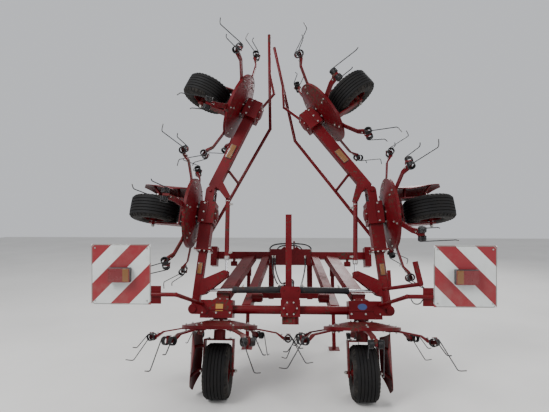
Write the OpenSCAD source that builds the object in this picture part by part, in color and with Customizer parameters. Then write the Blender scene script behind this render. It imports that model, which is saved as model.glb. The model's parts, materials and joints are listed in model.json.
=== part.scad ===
// Six-rotor mounted hay tedder, parked with its wings folded.
// World frame: X right, Y forward (towards the tractor), Z up, ground at Z = 0, in mm.
// Everything on the pitched frame is drawn in frame axes: x across, y forward, z up,
// with the rotor beam's centre at the origin, then placed by framed().

/* [View] */
// Which piece to draw, or all

/* [Overall] */
// Nose-down pitch of the parked frame
pitch = 15; // [0:0.5:20]
// Height of the rotor beam above the ground
beam_h = 724; // [600:1:900]
// Shift that brings the box's middle to Y = 0
y_shift = -303.9; // [-600:0.5:600]

/* [Rotor spacing] */
// Centre of the machine to the first rotor
rotor1_x = 620; // [500:1:700]
// Centre of the machine to the inner wing pin
pin_x = 850; // [780:1:950]
// Inner wing pin to the second rotor
rotor2_x = 870; // [800:1:950]
// Inner wing pin to the outer wing pin
out_pin_x = 1090; // [1000:1:1200]
// Outer wing pin to the third rotor
rotor3_x = 920; // [850:1:1000]

/* [Folding] */
// Fold of the inner wings
fold_in = 95; // [0:1:100]
// Extra fold of the left outer wing
fold_out_l = 19; // [0:1:45]
// Extra fold of the right outer wing
fold_out_r = 32; // [0:1:45]

/* [Rotors] */
// Radius of the rotor disc
disc_r = 330; // [280:1:360]
// Drop from the beam's axis to the underside of the disc's rim
disc_drop = 162; // [140:1:190]
// Sheet thickness of the dished disc
disc_t = 7; // [4:1:14]
// Height of the disc's rim
rim_h = 26; // [10:1:40]
// Rise of the dish from its rim to its hub
dish_h = 40; // [0:1:60]
// Number of arms on a rotor
arms = 6; // [5:1:8]
// Width of an arm strap
arm_w = 46; // [30:1:70]
// Thickness of an arm strap
arm_t = 12; // [6:1:16]
// Radius of an arm's end
arm_r = 604; // [500:1:650]
// Drop of an arm from the disc to its end
arm_drop = 66; // [40:1:160]
// Spindle diameter
spindle_d = 50; // [40:1:70]
// Radial running clearance at spindles and pins
run_gap = 0.05; // [0.02:0.01:0.1]
// Gap between parts bolted together, so that they stay separate
bolt_gap = 0.3; // [0.1:0.1:0.5]

/* [Tines] */
// Outer radius of a tine's coil
coil_r = 34; // [20:1:40]
// Wire diameter
wire_d = 9.5; // [8:0.5:12]
// Length of one coil
coil_len = 46; // [30:1:70]
// Half of the space between a pair of coils
coil_gap = 13; // [8:1:20]
// Radius of the long tine's tip
tine_r = 815; // [700:1:840]
// Depth of the long tine's tip below the disc
tine_depth = 278; // [250:1:400]
// Trailing of the tine's tip behind its coil
tine_trail = 60; // [0:5:120]

/* [Wheels] */
// Tyre outside diameter
tyre_d = 457; // [400:1:520]
// Tyre width
tyre_w = 216; // [160:1:250]
// Rim seat diameter
rim_d = 206; // [180:1:260]
// Drop from the beam's axis to the wheel's axle
axle_drop = 513; // [480:1:560]
// Axle diameter
axle_d = 25; // [20:1:35]
// Radius of the anti-wrap shield around the spindle line
shield_r = 239; // [220:1:260]

/* [Beams] */
// Rotor beam tube diameter
beam_d = 76; // [60:1:100]
// Inner wing beam, square
wing_w = 70; // [50:1:90]
// Outer wing beam width
wing_out_w = 98; // [60:1:120]
// Outer wing beam depth
wing_out_t = 78; // [50:1:110]
// Inner wing pin diameter
pin_d = 35; // [25:1:45]
// Outer wing pin diameter
out_pin_d = 30; // [20:1:40]

/* [Headstock] */
// Distance between the lower hitch pins' shoulders
hitch_span = 683; // [600:1:900]
// Lower hitch pin diameter
low_pin_d = 28; // [22:0.1:37]
// Top link pin bore diameter
top_bore_d = 25.7; // [19:0.1:32]
// Height of the top link above the lower pins
mast_h = 610; // [460:1:700]
// Distance of the headstock in front of the rotor beam
head_y = 1300; // [1100:1:1500]

/* [Warning boards] */
// Side of a square board
board_w = 423; // [280:1:423]
// Centre of a board across the machine
board_x = 1190; // [1000:1:1400]
// Face of a board behind the rotor beam
board_y = -800; // [-900:1:-500]
// Centre of a board above the ground
board_z = 1170; // [900:1:1400]

/* [Hidden] */
$fn = 48;
L = -1;
R = 1;
// Phase of the arms by rotor number, right then left, half a pitch apart from neighbours
PHASE_R = [30, 0, 30];
PHASE_L = [0, 30, 0];
fold_out = [fold_out_l, 0, fold_out_r];
// Lower end of each guard tube, left then right: along the outer wing, and above it
GUARD_LOW = [[-430, 80], [], [-345, 175]];
box_x0 = 505;
box_x1 = pin_x - 62;
box_y = 85;
box_z0 = -75;
box_z1 = 80;
neck_z = -92;
ear_y = 75;
ear_t = 16;
hub_z0 = -170;
// Fork: underside of its crown above the tyre, and the middle of each of its plates beside it
fork_z = -axle_drop + tyre_d / 2 + 22.5;
fork_x = tyre_w / 2 + 17;
coil_z = -disc_drop - arm_drop - 14;
coil_x = arm_r - 4;
// Fold cylinder: frame eye, and the eye on the inner wing's horn, in wing axes
fold_x0 = 62;
fold_z0 = 175;
horn_x = 174;
horn_z = 84;
horn2_x = 339;
horn2_z = 239;
lever_x = 20;
lever_z = 165;
cross_y = 925;
cross_z = 606;
cross_h = 80;
cross_half = 900;
low_z = 182;
top_z = low_z + mast_h;
pto_z = low_z + 145;
// Length of the bearing that carries the drive shaft's front end
pto_len = 70;
// Half width of the clevis plates that hold the cylinders, inner faces
horn_in = 32;
post_in = 33;
leg_x = 500;
leg_y = head_y - 60;
leg_w = 40;
leg_gap = 0.5;
sleeve_w = 58;

paint = [0.46, 0.09, 0.06];
black = [0.06, 0.06, 0.065];
steel = [0.55, 0.55, 0.56];
rubber = [0.05, 0.05, 0.05];

// Placing
module side(s) {
    if (s > 0) children();
    else mirror([1, 0, 0]) children();
}

module framed() translate([0, y_shift, beam_h]) rotate([-pitch, 0, 0]) children();

module at_in() translate([pin_x, 0, 0]) rotate([0, -fold_in, 0]) children();

module at_out(s) at_in() translate([out_pin_x, 0, 0]) rotate([0, -fold_out[s + 1], 0]) children();

module at_rotor(k, s) {
    if (k == 1) translate([rotor1_x, 0, 0]) children();
    if (k == 2) at_in() translate([rotor2_x, 0, 0]) children();
    if (k == 3) at_out(s) translate([rotor3_x, 0, 0]) children();
}

// Shapes
module rod(a, b, d) {
    v = b - a;
    translate(a) rotate([0, acos(v[2] / norm(v)), atan2(v[1], v[0])]) cylinder(h = norm(v), d = d);
}

module bar(a, b, w, h) {
    v = b - a;
    translate(a) rotate([0, -asin(v[2] / norm(v)), atan2(v[1], v[0])])
        translate([0, -w / 2, -h / 2]) cube([norm(v), w, h]);
}

module path(pts, d) {
    for (i = [0 : len(pts) - 2]) rod(pts[i], pts[i + 1], d);
    for (i = [1 : len(pts) - 2]) translate(pts[i]) sphere(d = d * 1.12);
}

// A bent tube: each straight runs a little past its bends, so that they close
module bent(pts, d) for (i = [0 : len(pts) - 2]) {
    u = (pts[i + 1] - pts[i]) / norm(pts[i + 1] - pts[i]);
    e0 = i > 0 ? d * 0.22 : 0;
    e1 = i < len(pts) - 2 ? d * 0.22 : 0;
    rod(pts[i] - u * e0, pts[i + 1] + u * e1, d);
}

// A hose in straights, with a sleeve over each of its bends
module hose(pts, d) {
    for (i = [0 : len(pts) - 2]) rod(pts[i], pts[i + 1], d);
    for (i = [1 : len(pts) - 2]) {
        v = (pts[i] - pts[i - 1]) / norm(pts[i] - pts[i - 1]) + (pts[i + 1] - pts[i]) / norm(pts[i + 1] - pts[i]);
        rod(pts[i] - v / norm(v) * d * 0.8, pts[i] + v / norm(v) * d * 0.8, d * 1.6);
    }
}

module box(x0, x1, y0, y1, z0, z1) translate([x0, y0, z0]) cube([x1 - x0, y1 - y0, z1 - z0]);

module cross_pin(x, z, d, half) translate([x, half, z]) rotate([90, 0, 0]) cylinder(h = 2 * half, d = d);

// A flat lug in the x-z plane, from one round end to the other
module lug(a, b, d, t, y) {
    v = b - a;
    translate([0, y + t / 2, 0]) rotate([90, 0, 0]) linear_extrude(t) {
        translate(a) circle(d = d);
        translate(b) circle(d = d);
        translate(a) rotate(atan2(v[1], v[0])) translate([0, -d / 2]) square([norm(v), d]);
    }
}

// Frame
module cross_core() box(-cross_half, cross_half, cross_y - cross_h / 2, cross_y + cross_h / 2,
    cross_z - cross_h / 2, cross_z + cross_h / 2);

module rotor_beam() color(paint) framed() {
    translate([-box_x0, 0, 0]) rotate([0, 90, 0]) cylinder(h = box_x0 - 85, d = beam_d);
    translate([85, 0, 0]) rotate([0, 90, 0]) cylinder(h = box_x0 - 85, d = beam_d);
}

module centre_gearbox() color(paint) framed() {
    box(-85, 85, -95, 95, -60, 88);
    translate([0, 0, -124]) cylinder(h = 65, d = 150);
    translate([0, 95, 0]) rotate([-90, 0, 0]) cylinder(h = 40, d = 120);
    translate([0, 135, 0]) rotate([-90, 0, 0]) cylinder(h = 60, d = 35);
}

module side_boxes() color(paint) for (s = [L, R]) side(s) framed() {
    box(box_x0, box_x1, -box_y, box_y, box_z0, box_z1);
    translate([rotor1_x, 0, neck_z]) cylinder(h = box_z0 - neck_z + 1, d = 130);
    for (y = [-1, 1]) lug([box_x1 - 30, 0], [pin_x, 0], 88, ear_t, y * (ear_y + ear_t / 2));
    cross_pin(pin_x, 0, pin_d, ear_y + ear_t + 9);
    for (y = [-1, 1]) translate([pin_x, y * (ear_y + ear_t + 9) + 5, 0]) rotate([90, 0, 0])
        cylinder(h = 10, d = 56);
}

module frame_arms() color(paint) for (s = [L, R]) side(s) framed() difference() {
    union() {
        bar([612, 66, 112], [453, cross_y, cross_z - 20], 128, 70);
        box(557, 667, 34, 84, box_z1, box_z1 + 60);
    }
    cross_core();
    box(box_x0, box_x1, -box_y, box_y, box_z0, box_z1);
}

module drawbars() color(paint) for (s = [L, R]) side(s) framed() difference() {
    union() {
        bar([395, 0, 0], [268, cross_y, cross_z - 20], 78, 78);
        translate([262, 120, 108]) rotate([0, 90, 0]) cylinder(h = 92, d = 84);
        translate([254, 120, 108]) rotate([0, 90, 0]) cylinder(h = 9, d = 60);
    }
    cross_core();
    translate([85, 0, 0]) rotate([0, 90, 0]) cylinder(h = box_x0 - 85, d = beam_d);
    box(200, 500, -100, 0, -100, 100);
}

module cross_beam() color(paint) framed() {
    cross_core();
    end_x = cross_half - 35;
    roller_x = cross_half * 0.711;
    for (x = [-1, 1]) {
        box(x * end_x - 35, x * end_x + 35, cross_y - 70, cross_y + 70, cross_z - 120, cross_z + 95);
        box(x * roller_x - 12, x * roller_x + 12, cross_y - 30, cross_y + 30, cross_z - 82, cross_z - cross_h / 2);
        translate([x * roller_x - 35, cross_y, cross_z - 92]) rotate([0, 90, 0]) cylinder(h = 70, d = 56);
    }
    box(-230, 230, cross_y - cross_h / 2 - 10, cross_y - cross_h / 2, cross_z - 110, cross_z + 70);
}

module headstock() color(paint) framed() difference() {
    union() {
        for (s = [L, R]) side(s) {
            box(200, 262, head_y - 45, head_y + 45, low_z - 45, cross_z + 40);
            box(200, 262, cross_y + cross_h / 2, head_y - 45, cross_z - 40, cross_z + 40);
            bar([231, head_y, cross_z], [58, head_y, top_z - 40], 50, 50);
            box(34, 56, head_y - 40, head_y + 40, top_z - 85, top_z + 40);
            box(262, hitch_span / 2, head_y - 35, head_y + 35, low_z - 35, low_z + 35);
            translate([hitch_span / 2, head_y, low_z]) rotate([0, 90, 0]) cylinder(h = 75, d = low_pin_d);
            box(leg_x - 25, leg_x + 25, cross_y + cross_h / 2, leg_y - sleeve_w / 2, cross_z - 35, cross_z + 35);
            difference() {
                box(leg_x - sleeve_w / 2, leg_x + sleeve_w / 2, leg_y - sleeve_w / 2, leg_y + sleeve_w / 2,
                    cross_z - 200, cross_z + 40);
                box(leg_x - leg_w / 2 - leg_gap, leg_x + leg_w / 2 + leg_gap, leg_y - leg_w / 2 - leg_gap,
                    leg_y + leg_w / 2 + leg_gap, cross_z - 210, cross_z + 50);
            }
        }
        box(-200, 200, head_y - 35, head_y + 35, low_z - 35, low_z + 35);
        box(-45, 45, head_y - 32, head_y - 6, low_z, pto_z);
        translate([0, head_y - pto_len, pto_z]) rotate([-90, 0, 0]) cylinder(h = pto_len, d = 96);
    }
    translate([-100, head_y, top_z]) rotate([0, 90, 0]) cylinder(h = 200, d = top_bore_d);
}

// The drive shaft stops a bolt gap short of the gearbox and the bearing, since its ends are slanted
module driveline() color(steel) framed() {
    back_y = 195;
    slope = atan2(pto_z, head_y - pto_len - back_y);
    short = bolt_gap + 17 * sin(slope);
    a = [0, back_y + short, 0];
    b = [0, head_y - pto_len - short, pto_z];
    rod(a, b, 34);
    rod(a + (b - a) * 0.06, a + (b - a) * 0.92, 62);
    for (t = [0.03, 0.95]) rod(a + (b - a) * (t - 0.018), a + (b - a) * (t + 0.018), 78);
    translate([0, head_y, pto_z]) rotate([-90, 0, 0]) cylinder(h = 75, d = 35);
}

// Post in front of the fold cylinders, with the clevis that holds their inner eyes
module centre_post() color(paint) framed() {
    box(-46, 12, post_in + 9, post_in + 59, 88, 880);
    for (y = [-1, 1]) translate([0, y * (post_in + 5) + 5, 0]) rotate([90, 0, 0]) linear_extrude(10)
        polygon([[-78, 88], [78, 88], [92, fold_z0 - 8], [fold_x0 + 16, fold_z0 + 28], [-fold_x0 - 16, fold_z0 + 28],
            [-92, fold_z0 - 8]]);
    for (x = [-1, 1]) cross_pin(x * fold_x0, fold_z0, 22, post_in + 17);
}

// Carrier under a rotor: spindle, fork, axle and, on some, the anti-wrap shield
module carrier(shield) {
    translate([0, 0, fork_z]) cylinder(h = neck_z - fork_z, d = spindle_d);
    translate([0, 0, fork_z]) cylinder(h = hub_z0 - 6 - fork_z, d = 104);
    box(-fork_x - 6, fork_x + 6, -52, 52, fork_z, fork_z + 12);
    for (x = [-1, 1]) translate([x * fork_x - 6, 0, 0]) rotate([90, 0, 90]) linear_extrude(12)
        polygon([[-52, fork_z + 11], [52, fork_z + 11], [52, fork_z - 28], [30, -axle_drop - 20],
            [16, -axle_drop - 40], [-16, -axle_drop - 40], [-30, -axle_drop - 20], [-52, fork_z - 28]]);
    translate([-fork_x - 20, 0, -axle_drop]) rotate([0, 90, 0]) cylinder(h = 2 * fork_x + 40, d = axle_d);
    if (shield) {
        intersection() {
            translate([0, 0, -690]) rotate([0, 0, -42]) rotate_extrude(angle = 84)
                translate([shield_r - 5, 0]) square([5, 520]);
            rotate([90, 0, 90]) linear_extrude(300)
                polygon([[-40, -184], [150, -230], [160, -330], [150, -560], [60, -680], [-30, -640],
                    [-120, -480], [-150, -330], [-110, -210]]);
        }
        for (h = [[-322, -310], [-560, -505]])
            bent([[fork_x + 3, 0, h[1]], [165, 0, h[1]], [shield_r - 2.5, 0, h[0]]], 26);
    }
}

module carriers_1() color(paint) for (s = [L, R]) side(s) framed() at_rotor(1, s) carrier(true);
module carrier_2(s) color(paint) side(s) framed() at_rotor(2, s) carrier(true);
module carrier_3(s) color(paint) side(s) framed() at_rotor(3, s) carrier(false);

// Rotor with its arms: the dished disc and each arm are separate solids.
// An arm lies under the rim, droops to its end, and holds a tine on a tongue between its two coils.
module arm() {
    z = -disc_drop - bolt_gap;
    xe = coil_x - coil_r - 3;
    rotate([90, 0, 0]) translate([0, 0, -arm_w / 2]) linear_extrude(arm_w) polygon([
        [215, z], [disc_r + 12, z], [500, z - arm_drop * 0.42], [xe, z - arm_drop], [xe, z - arm_drop - arm_t - 6],
        [xe - 14, z - arm_drop - arm_t - 6], [496, z - arm_drop * 0.42 - arm_t], [disc_r + 10, z - arm_t],
        [215, z - arm_t]]);
    box(xe - 6, coil_x + 16, bolt_gap - coil_gap, coil_gap - bolt_gap, coil_z - 16, coil_z + 16);
}

module dish() rotate_extrude($fn = 72) polygon([
    [75, -disc_drop + rim_h + dish_h], [118, -disc_drop + rim_h + dish_h], [disc_r - 14, -disc_drop + rim_h],
    [disc_r, -disc_drop + rim_h], [disc_r, -disc_drop], [disc_r - disc_t, -disc_drop],
    [disc_r - disc_t, -disc_drop + rim_h - disc_t], [disc_r - 16, -disc_drop + rim_h - disc_t],
    [116, -disc_drop + rim_h + dish_h - disc_t], [75, -disc_drop + rim_h + dish_h - disc_t]]);

module rotor(k, s) color(paint) side(s) framed() at_rotor(k, s) {
    difference() {
        union() {
            dish();
            translate([0, 0, hub_z0]) cylinder(h = -hub_z0 - 98, d = 152);
        }
        translate([0, 0, -260]) cylinder(h = 250, d = spindle_d + 2 * run_gap);
    }
    for (i = [0 : arms - 1]) rotate([0, 0, phase(k, s) + i * 360 / arms]) arm();
}

function phase(k, s) = s > 0 ? PHASE_R[k - 1] : PHASE_L[k - 1];
function hand(k) = k == 2 ? -1 : 1;

module coil() rotate([-90, 0, 0]) rotate_extrude() polygon(concat([[coil_r - wire_d, 0]],
    [for (i = [0 : 4]) for (j = [0, 1]) [coil_r - (j == 0 ? 1.2 : 3.4), (i + 0.25 + j * 0.5) * coil_len / 5]],
    [[coil_r - wire_d, coil_len]]));

module tine() {
    y1 = coil_gap + coil_len - wire_d / 2 - 3;
    x1 = coil_x + coil_r - 6;
    zt = -disc_drop - tine_depth;
    translate([coil_x, coil_gap, coil_z]) coil();
    translate([coil_x, -coil_gap - coil_len, coil_z]) coil();
    translate([coil_x, -coil_gap - 4, coil_z + coil_r - wire_d / 2 - 2]) rotate([-90, 0, 0])
        cylinder(h = 2 * coil_gap + 8, d = wire_d - 1);
    path([[x1, y1, coil_z + 4], [tine_r - 62, y1 - tine_trail * 0.7, zt - 4], [tine_r, y1 - tine_trail, zt + 6]],
        wire_d);
    path([[x1, -y1, coil_z + 4], [tine_r - 115, -y1 - tine_trail * 0.4, zt + 110],
        [tine_r - 82, -y1 - tine_trail * 0.5, zt + 114]], wire_d);
}

module tines(k, s) color(black) side(s) framed() at_rotor(k, s)
    for (i = [0 : arms - 1]) rotate([0, 0, phase(k, s) + i * 360 / arms])
        if (hand(k) > 0) tine();
        else mirror([0, 1, 0]) tine();

// Wheels
module tyre_shape() rotate([0, 90, 0]) rotate_extrude($fn = 72) {
    w = tyre_w / 2;
    r = tyre_d / 2;
    r0 = rim_d / 2 + 0.2;
    polygon([[r0, -w + 22], [r0 + 14, -w + 12], [r0 + 45, -w], [r - 48, -w], [r - 22, -w + 8], [r - 8, -w + 22],
        [r, -w + 44], [r, w - 44], [r - 8, w - 22], [r - 22, w - 8], [r - 48, w], [r0 + 45, w], [r0 + 14, w - 12],
        [r0, w - 22]]);
}

module rim_shape() rotate([0, 90, 0]) difference() {
    union() {
        difference() {
            translate([0, 0, -tyre_w / 2 + 22]) cylinder(h = tyre_w - 44, d = rim_d);
            translate([0, 0, -tyre_w / 2 + 21]) cylinder(h = tyre_w - 42, d = rim_d - 12);
        }
        translate([0, 0, -10]) cylinder(h = 14, d = rim_d - 10);
        translate([0, 0, -108]) cylinder(h = 216, d = 58);
    }
    translate([0, 0, -150]) cylinder(h = 300, d = axle_d + 2 * run_gap);
}

module at_wheel(k, s) side(s) framed() at_rotor(k, s) translate([0, 0, -axle_drop]) children();
module tyre(k, s) color(rubber) at_wheel(k, s) tyre_shape();
module rim(k, s) color(paint) at_wheel(k, s) rim_shape();

// Inner wing: beam, gearbox, horn and outer ears
module wing_in(s) color(paint) side(s) framed() at_in() {
    difference() {
        union() {
            cross_pin(0, 0, 72, ear_y - 6);
            box(20, rotor2_x - 80, -wing_w / 2, wing_w / 2, -wing_w / 2, wing_w / 2);
        }
        cross_pin(0, 0, pin_d + 2 * run_gap, 200);
    }
    box(rotor2_x - 95, rotor2_x + 110, -box_y, box_y, box_z0, 70);
    difference() {
        union() {
            box(540, rotor2_x - 90, -58, 58, -62, 52);
            box(524, 540, -78, 78, -74, 78);
        }
        box(20, rotor2_x - 80, -wing_w / 2, wing_w / 2, -wing_w / 2, wing_w / 2);
    }
    translate([rotor2_x, 0, neck_z]) cylinder(h = box_z0 - neck_z + 1, d = 130);
    for (y = [-1, 1]) {
        lug([rotor2_x + 90, 0], [out_pin_x, 0], 80, ear_t, y * (ear_y - ear_t / 2));
        translate([0, y * (horn_in + 6), 0]) rotate([90, 0, 0]) translate([0, 0, -6]) linear_extrude(12)
            polygon([[120, wing_w / 2 - 10], [horn_x - 36, horn_z - 6], [horn_x - 8, horn_z + 22],
                [horn2_x - 25, horn2_z + 22], [horn2_x + 20, horn2_z + 20], [horn2_x + 25, horn2_z - 22],
                [260, wing_w / 2 - 10]]);
    }
    for (y = [-1, 1], p = [[horn_x, horn_z], [horn2_x, horn2_z]])
        translate([p[0], y * (horn_in + 16) + 4, p[1]]) rotate([90, 0, 0]) cylinder(h = 8, d = 36);
    cross_pin(out_pin_x, 0, out_pin_d, ear_y + 12);
}

// Outer wing: beam, gearbox and lever
module wing_out(s) color(paint) side(s) framed() at_out(s) {
    difference() {
        union() {
            cross_pin(0, 0, 62, ear_y - ear_t - 6);
            box(48, rotor3_x - 70, -wing_out_t / 2, wing_out_t / 2, -wing_out_w / 2, wing_out_w / 2);
            box(-5, 60, -ear_y + ear_t + 6, ear_y - ear_t - 6, -28, 28);
        }
        cross_pin(0, 0, out_pin_d + 2 * run_gap, 200);
    }
    box(rotor3_x - 90, rotor3_x + 95, -box_y, box_y, box_z0, 75);
    translate([rotor3_x, 0, neck_z]) cylinder(h = box_z0 - neck_z + 1, d = 130);
    for (y = [-1, 1]) translate([0, y * 32, 0]) rotate([90, 0, 0]) translate([0, 0, -6]) linear_extrude(12)
        polygon([[60, wing_out_w / 2 - 10], [lever_x - 22, lever_z - 10], [lever_x - 15, lever_z + 20],
            [lever_x + 18, lever_z + 20], [150, wing_out_w / 2 - 10]]);
    cross_pin(lever_x, lever_z, 20, 40);
}

module guard(s) color(paint) side(s) framed() at_out(s) {
    bent([[GUARD_LOW[s + 1][0], 330, GUARD_LOW[s + 1][1]], [960, 330, 160], [1980, 270, -320]], 34);
    difference() {
        union() {
            rod([260, 20, 60], [260, 330, guard_z(s, 260)], 28);
            bent([[rotor3_x + 80, 50, 50], [1290, 200, 60], [1560, 294.7, -122.4]], 28);
        }
        box(48, rotor3_x - 70, -wing_out_t / 2, wing_out_t / 2, -wing_out_w / 2, wing_out_w / 2);
        box(rotor3_x - 90, rotor3_x + 95, -box_y, box_y, box_z0, 75);
    }
}

function guard_z(s, x) = GUARD_LOW[s + 1][1] + (160 - GUARD_LOW[s + 1][1]) * (x - GUARD_LOW[s + 1][0])
    / (960 - GUARD_LOW[s + 1][0]);

// Fold cylinders across the frame, drawn along their own line
fold_a = [fold_x0, fold_z0];
fold_b = [pin_x + horn_x * cos(fold_in) - horn_z * sin(fold_in), horn_x * sin(fold_in) + horn_z * cos(fold_in)];
fold_len = norm(fold_b - fold_a);
fold_turn = atan2(fold_b[1] - fold_a[1], fold_b[0] - fold_a[0]);
fold_cut = fold_len - 245;

module at_fold() translate([fold_x0, 0, fold_z0]) rotate([0, -fold_turn, 0]) children();

module cyl_barrel(len, d, eye) difference() {
    union() {
        cross_pin(0, 0, eye * 2, 24);
        translate([eye * 0.6, 0, 0]) rotate([0, 90, 0]) cylinder(h = len - eye * 0.6, d = d);
    }
    cross_pin(0, 0, eye + 2 * run_gap, 60);
    translate([60, 0, 0]) rotate([0, 90, 0]) cylinder(h = len, d = d * 0.5 + 2 * run_gap);
}

// The rod's eye carries its own pin between the clevis plates, since the linkage opens there
module cyl_rod(from, len, d, eye) {
    translate([from, 0, 0]) rotate([0, 90, 0]) cylinder(h = len - from, d = d * 0.5);
    cross_pin(len, 0, eye + 14, 22);
    cross_pin(len, 0, eye, horn_in - 2);
}

module fold_barrel(s) color(black) side(s) framed() at_fold() cyl_barrel(fold_cut, 56, 22);
module fold_rod(s) color(steel) side(s) framed() at_fold() cyl_rod(90, fold_len, 56, 22);

// Tilt cylinders: barrel on the outer wing's lever, rod's eye on the inner wing's horn
function tilt_a(s) = let (f = fold_out[s + 1])
    [out_pin_x + lever_x * cos(f) - lever_z * sin(f), lever_x * sin(f) + lever_z * cos(f)];
function tilt_len(s) = norm([horn2_x, horn2_z] - tilt_a(s));
function tilt_turn(s) = atan2(horn2_z - tilt_a(s)[1], horn2_x - tilt_a(s)[0]);

module at_tilt(s) at_in() translate([tilt_a(s)[0], 0, tilt_a(s)[1]]) rotate([0, -tilt_turn(s), 0]) children();

module tilt_barrel(s) color(black) side(s) framed() at_tilt(s) cyl_barrel(590, 42, 20);
module tilt_rod(s) color(steel) side(s) framed() at_tilt(s) cyl_rod(110, tilt_len(s), 42, 22);

// Parking legs with feet flat on the ground
leg_foot_z = (-beam_h + leg_y * sin(pitch)) / cos(pitch);

module leg(s) color(paint) side(s) framed() {
    box(leg_x - leg_w / 2, leg_x + leg_w / 2, leg_y - leg_w / 2, leg_y + leg_w / 2, leg_foot_z + 18, cross_z + 70);
    translate([leg_x, leg_y, leg_foot_z]) rotate([pitch, 0, 0]) box(-60, 60, -60, 60, 0, 8);
    box(leg_x - 18, leg_x + 18, leg_y - 18, leg_y + 18, leg_foot_z + 5, leg_foot_z + 20);
}

// Warning boards, upright in the world, each on a tube from its side box
board_arm_y = (board_y - 88 * sin(pitch)) / cos(pitch);
board_arm_z = beam_h - board_arm_y * sin(pitch) + 88 * cos(pitch);

// A bar with two posts over the right board's tube
module holder() {
    rod([800, -250, 60], [800, -250, 178], 26);
    rod([795, -142, 178], [905, -844, 174], 30);
    bar([817, -282, 178], [817, -282, 325], 26, 26);
    bar([903, -832, 174], [876, -832, 330], 36, 30);
}

module board_arms() color(paint) {
    for (s = [L, R]) side(s) {
        framed() {
            bent([[768, -ear_y - ear_t, 45], [768, -150, 45], [800, -250, 60], [800, board_arm_y, 88]], 30);
            if (s > 0) holder();
        }
        translate([800, y_shift + board_y, board_arm_z]) rotate([0, 90, 0])
            cylinder(h = board_x - board_w / 2 - 806, d = 30);
        translate([800, y_shift + board_y, board_arm_z]) sphere(d = 33);
        translate([0, y_shift + board_y, 0]) box(board_x - board_w / 2 - 70, board_x - board_w / 2 + 70, 2, 10,
            board_z - board_w / 2 + 5, board_z - board_w / 2 + 130);
    }
}

// Hydraulic hoses clipped between the cross beam's plate, the post and the gearbox, and the lamp's cable
module hoses() color(black) {
    top = cross_z + cross_h / 2;
    back = cross_y - cross_h / 2 - 18.1;
    framed() {
        hose([[-235, 915, top], [-235, 915, top + 60], [-150, 915, top + 100], [150, 915, top + 100],
            [235, 915, top + 60], [235, 915, top]], 18);
        hose([[-150, 945, top], [-150, 945, top + 50], [-95, 945, top + 84], [80, 945, top + 84],
            [130, 945, top + 50], [130, 945, top]], 16);
        hose([[-200, back, 600], [-200, back, 430], [-120, 200, 215], [-54.1, 76, 215]], 16);
        hose([[-174, back, 600], [-174, back, 455], [-94, 200, 238], [-54.1, 76, 238]], 16);
        hose([[165, back, 600], [165, back, 430], [60, 230, 90], [50, 97, 62]], 16);
    }
    translate([0, y_shift + board_y - 6, board_arm_z])
        hose([[824, 0, -17.2], [844, 0, -50], [884, 0, -50], [904, 0, -17.2]], 8);
}

module boards() color(steel) for (s = [L, R]) side(s) translate([board_x, y_shift + board_y, board_z])
    box(-board_w / 2, board_w / 2, -2, 2, -board_w / 2, board_w / 2);

module board_lamps() color(paint) for (s = [L, R]) side(s) translate([board_x, y_shift + board_y, board_z])
    box(-75, 75, -45, -2, -50, 45);

rotor_beam();
centre_gearbox();
side_boxes();
frame_arms();
drawbars();
cross_beam();
headstock();
driveline();
centre_post();
carriers_1();
board_arms();
boards();
board_lamps();
hoses();
leg(L);  // leg_l
leg(R);  // leg_r
fold_barrel(L);  // fold_barrel_l
fold_barrel(R);  // fold_barrel_r
fold_rod(L);  // fold_rod_l
fold_rod(R);  // fold_rod_r
wing_in(L);  // wing_in_l
wing_in(R);  // wing_in_r
carrier_2(L);  // carrier_2l
carrier_2(R);  // carrier_2r
wing_out(L);  // wing_out_l
wing_out(R);  // wing_out_r
carrier_3(L);  // carrier_3l
carrier_3(R);  // carrier_3r
guard(L);  // guard_l
guard(R);  // guard_r
tilt_barrel(L);  // tilt_barrel_l
tilt_barrel(R);  // tilt_barrel_r
tilt_rod(L);  // tilt_rod_l
tilt_rod(R);  // tilt_rod_r
rotor(1, L);  // rotor_1l
rotor(1, R);  // rotor_1r
rotor(2, L);  // rotor_2l
rotor(2, R);  // rotor_2r
rotor(3, L);  // rotor_3l
rotor(3, R);  // rotor_3r
tines(1, L);  // tines_1l
tines(1, R);  // tines_1r
tines(2, L);  // tines_2l
tines(2, R);  // tines_2r
tines(3, L);  // tines_3l
tines(3, R);  // tines_3r
tyre(1, L);  // tyre_1l
tyre(1, R);  // tyre_1r
tyre(2, L);  // tyre_2l
tyre(2, R);  // tyre_2r
tyre(3, L);  // tyre_3l
tyre(3, R);  // tyre_3r
rim(1, L);  // rim_1l
rim(1, R);  // rim_1r
rim(2, L);  // rim_2l
rim(2, R);  // rim_2r
rim(3, L);  // rim_3l
rim(3, R);  // rim_3r
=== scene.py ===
# %% [markdown]
# # A folded hay tedder
# This lesson dresses a six-rotor hay tedder. The solids come from CAD and are never moved.
# Here they get their finishes, and the pieces that CAD leaves plain are made in full:
# wound spring tines, ribbed tyres, bolts, boards, lamps and labels without words.

# %% Load the frame
import json
import math

import bpy
import bmesh
from mathutils import Matrix, Vector


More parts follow.
